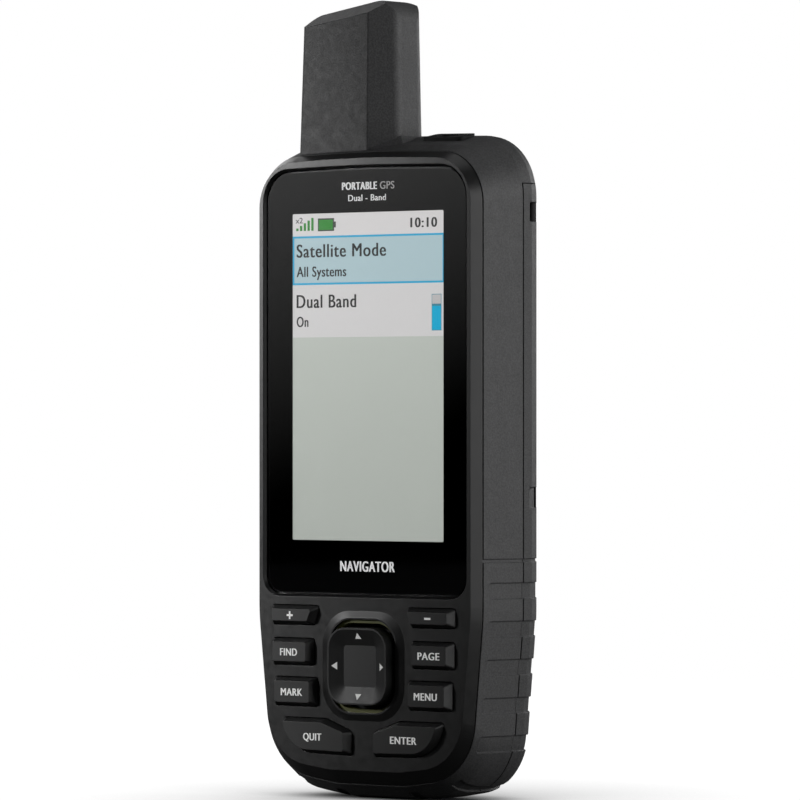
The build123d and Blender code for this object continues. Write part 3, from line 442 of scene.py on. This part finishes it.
# ---------------------------------------------------------------- lens print
LENS_PRINT = [      # name, text, x, baseline z, cap height, width, ink, which end x is, bold
    ("lens_name", "PORTABLE", -6.5, 123.0, 1.6, 9.0, lens_white, "LEFT", 0.2),
    ("lens_kind", "GPS", 3.4, 123.0, 1.6, 3.7, lens_grey, "LEFT", 0.08),
    ("lens_note", "Dual - Band", 0.0, 120.7, 1.35, 9.8, lens_white, "CENTER", 0.08),
    ("lens_word", "NAVIGATOR", 0.1, 46.0, 2.2, 14.1, lens_white, "CENTER", 0.18),
]
for name, text, x, z, cap, width, ink, align, bold in LENS_PRINT:
    words(name, text, x, z, LENS_BACK, cap, width, ink, align=align, bold_mm=bold)

# ---------------------------------------------------------------- what the display shows
SCREEN_LEFT, SCREEN_RIGHT = -19.8, 19.8
SCREEN_LOW, SCREEN_TOP = 52.2, 118.4
STATUS_LOW, FIRST_LOW, SECOND_LOW = 113.85, 103.95, 93.3    # lower edges of the bar and the two rows
UNDER_MASK = 0.3                        # how far the picture runs on behind the printed mask
LAYER_FIRST, LAYER_STEP = 0.006, 0.012  # gap to the panel, and from one layer of the picture to the next
BORDER = 0.4                            # round the chosen row
BAR_COUNT, BAR_LEFT, BAR_LOW = 5, 0.9, 114.95
BAR_PITCH, BAR_WIDE, BAR_STEP = 1.0, 0.62, 0.52
BATTERY_LEFT = SCREEN_LEFT + 6.65
SLIDER = (SCREEN_LEFT + 36.4, SCREEN_LEFT + 38.9)
SLIDER_LINE = 0.12
TEXT_LEFT = SCREEN_LEFT + 1.1
SCREEN_TEXT = [     # name, text, x, baseline z, cap height, width, which end x is, bold
    ("screen_text_one", "Satellite Mode", TEXT_LEFT, 109.55, 2.8, 23.4, "LEFT", 0.16),
    ("screen_text_two", "All Systems", TEXT_LEFT, 105.6, 2.2, 13.0, "LEFT", 0.12),
    ("screen_text_three", "Dual Band", TEXT_LEFT, 99.3, 2.8, 15.6, "LEFT", 0.16),
    ("screen_text_four", "On", TEXT_LEFT, 95.45, 2.2, 3.0, "LEFT", 0.12),
    ("screen_clock", "10:10", SCREEN_RIGHT - 1.9, 115.1, 2.05, 6.7, "RIGHT", 0.2),
    ("screen_count", "x2", SCREEN_LEFT + 0.75, 116.5, 1.2, 1.9, "LEFT", 0.0),
]


def display():
    """Lit plates in three layers just in front of the panel, with dark lettering on the last."""
    full = (SCREEN_LEFT - UNDER_MASK, SCREEN_RIGHT + UNDER_MASK)
    ground, marks, top = [LCD_FACE - (LAYER_FIRST + LAYER_STEP * i) * MM for i in range(3)]

    plates("screen_ground", [(full, (SCREEN_LOW - UNDER_MASK, SECOND_LOW))], ground,
           lit("screen_ground", linear(193, 199, 192), 0.24))
    plates("screen_status", [(full, (STATUS_LOW, SCREEN_TOP + UNDER_MASK))], ground,
           lit("screen_pale", linear(209, 207, 207)))
    plates("screen_row_two", [(full, (SECOND_LOW, FIRST_LOW))], ground,
           lit("screen_row", linear(207, 206, 206)))
    plates("screen_row_one", [(full, (FIRST_LOW, STATUS_LOW))], ground,
           lit("screen_chosen", linear(169, 193, 199)))

    between = (FIRST_LOW + BORDER, STATUS_LOW - BORDER)
    border = [
        (full, (STATUS_LOW - BORDER, STATUS_LOW)), (full, (FIRST_LOW, FIRST_LOW + BORDER)),
        ((SCREEN_LEFT, SCREEN_LEFT + BORDER), between), ((SCREEN_RIGHT - BORDER, SCREEN_RIGHT), between),
    ]
    plates("screen_border", border, marks, lit("screen_blue", linear(30, 160, 203)))

    green = []
    for step in range(BAR_COUNT):
        x = SCREEN_LEFT + BAR_LEFT + step * BAR_PITCH
        green.append(((x, x + BAR_WIDE), (BAR_LOW, BAR_LOW + BAR_STEP * (step + 1))))
    green.append(((BATTERY_LEFT + 0.25, BATTERY_LEFT + 3.95), (115.05, 117.1)))
    plates("screen_green", green, top, lit("screen_green", linear(24, 128, 26)))
    battery = [((BATTERY_LEFT, BATTERY_LEFT + 4.3), (114.8, 117.4)),
               ((BATTERY_LEFT + 4.3, BATTERY_LEFT + 4.75), (115.5, 116.7))]
    plates("screen_battery", battery, marks, lit("screen_grey", linear(52, 58, 52)))

    inner = (SLIDER[0] + SLIDER_LINE, SLIDER[1] - SLIDER_LINE)
    plates("screen_slider_edge", [(SLIDER, (94.4, 101.7))], marks, lit("screen_teal", linear(60, 130, 150)))
    plates("screen_slider_blue", [(inner, (94.52, 99.3))], top, lit("screen_cyan", linear(0, 166, 206)))
    plates("screen_slider_grey", [(inner, (99.75, 101.58))], top, lit("screen_silver", linear(186, 184, 184)))

    for name, text, x, z, cap, width, align, bold in SCREEN_TEXT:
        words(name, text, x, z, top, cap, width, text_dark, align=align, bold_mm=bold)


display()


# ---------------------------------------------------------------- floor, light and camera
WATTS = {"overhead": 0.8, "right_side": 8.5, "back_left": 2.0, "behind": 3.0, "left_front": 102.0}
SKY_FILL = 0.03
SHADOW_PAINT_REACH = 0.1                     # how far out the painted shadow darkens the floor round the object
SHADOW_PAINT_POWER, FLOOR_GAIN = 1.25, 1.13
FLOOR_REACH, FLOOR_SIDES = 0.55, 64
CARD_GLOW = 0.82
CARD_WIDE, CARD_HIGH = 0.34, 0.34
CARD_SLANT = -0.46                      # how far the sheen leans towards one side
CARD_RANGE, CARD_POWER = (0.05, 0.22), 1.4
VIEW_AZIMUTH, VIEW_DISTANCE = 39.77, 1.2
VIEW_AIM = (0, -0.0153, 0.0762)
FOCAL_MM = 268.4


def around(azimuth, distance, height):
    """A place at an azimuth, where 0 is straight in front of the display and 90 is the +X side."""
    angle = math.radians(azimuth)
    return (distance * math.sin(angle), -distance * math.cos(angle), height)


def link(thing):
    bpy.context.scene.collection.objects.link(thing)
    return thing


def seen_only(tree, camera_shader, other_shader):
    """One shader for what the camera sees directly and another for the light that bounces."""
    path = tree.nodes.new("ShaderNodeLightPath")
    mix = tree.nodes.new("ShaderNodeMixShader")
    tree.links.new(path.outputs["Is Camera Ray"], mix.inputs["Fac"])
    tree.links.new(other_shader, mix.inputs[1])
    tree.links.new(camera_shader, mix.inputs[2])
    return mix.outputs["Shader"]


def studio():
    """A white floor with a painted contact shadow round the object, that throws little light back at the
    object.
    """
    ground = bpy.data.meshes.new("floor")
    turns = [2 * math.pi * i / FLOOR_SIDES for i in range(FLOOR_SIDES)]
    rim = [(FLOOR_REACH * math.cos(t), FLOOR_REACH * math.sin(t), 0) for t in turns]
    ground.from_pydata(rim, [], [tuple(range(FLOOR_SIDES))])
    floor = link(bpy.data.objects.new("floor", ground))
    n = Nodes("floor_pale")
    # white, with a painted shadow only where the object stands over it
    shade = n.add("ShaderNodeAmbientOcclusion", samples=16, Distance=SHADOW_PAINT_REACH)
    strength = n.reckon("MULTIPLY", n.reckon("POWER", shade.outputs["AO"], SHADOW_PAINT_POWER), FLOOR_GAIN)
    white = n.add("ShaderNodeEmission")
    n.link(strength, white.inputs["Strength"])
    bounced = n.add("ShaderNodeBsdfDiffuse", Color=(0.1, 0.1, 0.1, 1))
    shader = seen_only(n.tree, white.outputs["Emission"], bounced.outputs["BSDF"])
    n.link(shader, n.tree.nodes["Material Output"].inputs["Surface"])
    ground.materials.append(n.material)


def lens_card():
    """A dim board, brighter towards its top and one side, that only shows as a sheen in the lens."""
    half = CARD_WIDE / 2
    mesh = bpy.data.meshes.new("lens_card")
    corners = [(-half, 0, 0), (half, 0, 0), (half, 0, CARD_HIGH), (-half, 0, CARD_HIGH)]
    mesh.from_pydata(corners, [], [(0, 1, 2, 3)])
    card = link(bpy.data.objects.new("lens_card", mesh))
    # it stands where the camera's line of sight is reflected to
    card.location = around(-VIEW_AZIMUTH, 2.0, 0.0)
    card.rotation_euler = (0, 0, math.radians(-VIEW_AZIMUTH))
    card.visible_camera = False
    n = Nodes("card_glow")
    axes = n.axes()
    total = n.reckon("ADD", axes["Z"], n.reckon("MULTIPLY", axes["X"], CARD_SLANT))
    ramp = n.remap(total, CARD_RANGE, (0.0, 1.0))
    strength = n.reckon("MULTIPLY", n.reckon("POWER", ramp, CARD_POWER), CARD_GLOW)
    glow = n.add("ShaderNodeEmission")
    n.link(strength, glow.inputs["Strength"])
    n.link(glow.outputs["Emission"], n.tree.nodes["Material Output"].inputs["Surface"])
    mesh.materials.append(n.material)


def lamp(name, kind, place, target, **values):
    data = bpy.data.lights.new(name, kind)
    data.energy = WATTS[name]
    for key, value in values.items():
        setattr(data, key, value)
    thing = link(bpy.data.objects.new(name, data))
    thing.location = place
    thing.rotation_euler = (Vector(target) - Vector(place)).to_track_quat("-Z", "Y").to_euler()


def softbox(name, place, target, size):
    lamp(name, "AREA", place, target, shape="RECTANGLE", size=size[0], size_y=size[1])


def lights():
    middle = (0, 0, 0.08)
    softbox("overhead", (0.0, 0.15, 0.95), middle, (0.6, 0.6))
    softbox("right_side", around(98, 1.0, 0.22), middle, (0.9, 0.8))
    softbox("back_left", around(-112, 1.0, 0.5), middle, (0.6, 0.6))
    softbox("behind", around(172, 1.1, 0.35), middle, (0.5, 0.5))
    # a cone of light whose soft edge crosses the front from left to right
    lamp("left_front", "SPOT", around(-45, 0.75, 0.25), (-0.355, 0.221, 0.065),
         spot_size=math.radians(68.4), spot_blend=1.0, shadow_soft_size=0.05)
    world = bpy.data.worlds.new("studio")
    bpy.context.scene.world = world
    world.use_nodes = True
    tree = world.node_tree
    back = tree.nodes["Background"]
    back.inputs["Color"].default_value = (0.9, 0.93, 1, 1)
    back.inputs["Strength"].default_value = SKY_FILL
    seen = tree.nodes.new("ShaderNodeBackground")
    seen.inputs["Color"].default_value = (1, 1, 1, 1)
    shader = seen_only(tree, seen.outputs["Background"], back.outputs["Background"])
    tree.links.new(shader, tree.nodes["World Output"].inputs["Surface"])


def camera():
    data = bpy.data.cameras.new("camera")
    data.sensor_width = 36.0
    data.lens = FOCAL_MM
    data.shift_x = 0.0458
    data.shift_y = 0.0271
    data.clip_start = 0.05
    cam = link(bpy.data.objects.new("camera", data))
    aim = Vector(VIEW_AIM)
    cam.location = aim + Vector(around(VIEW_AZIMUTH, VIEW_DISTANCE, 0.0))
    cam.rotation_euler = (aim - cam.location).to_track_quat("-Z", "Y").to_euler()
    bpy.context.scene.camera = cam


studio()
lens_card()
lights()
camera()
bpy.context.scene.view_settings.view_transform = "Standard"
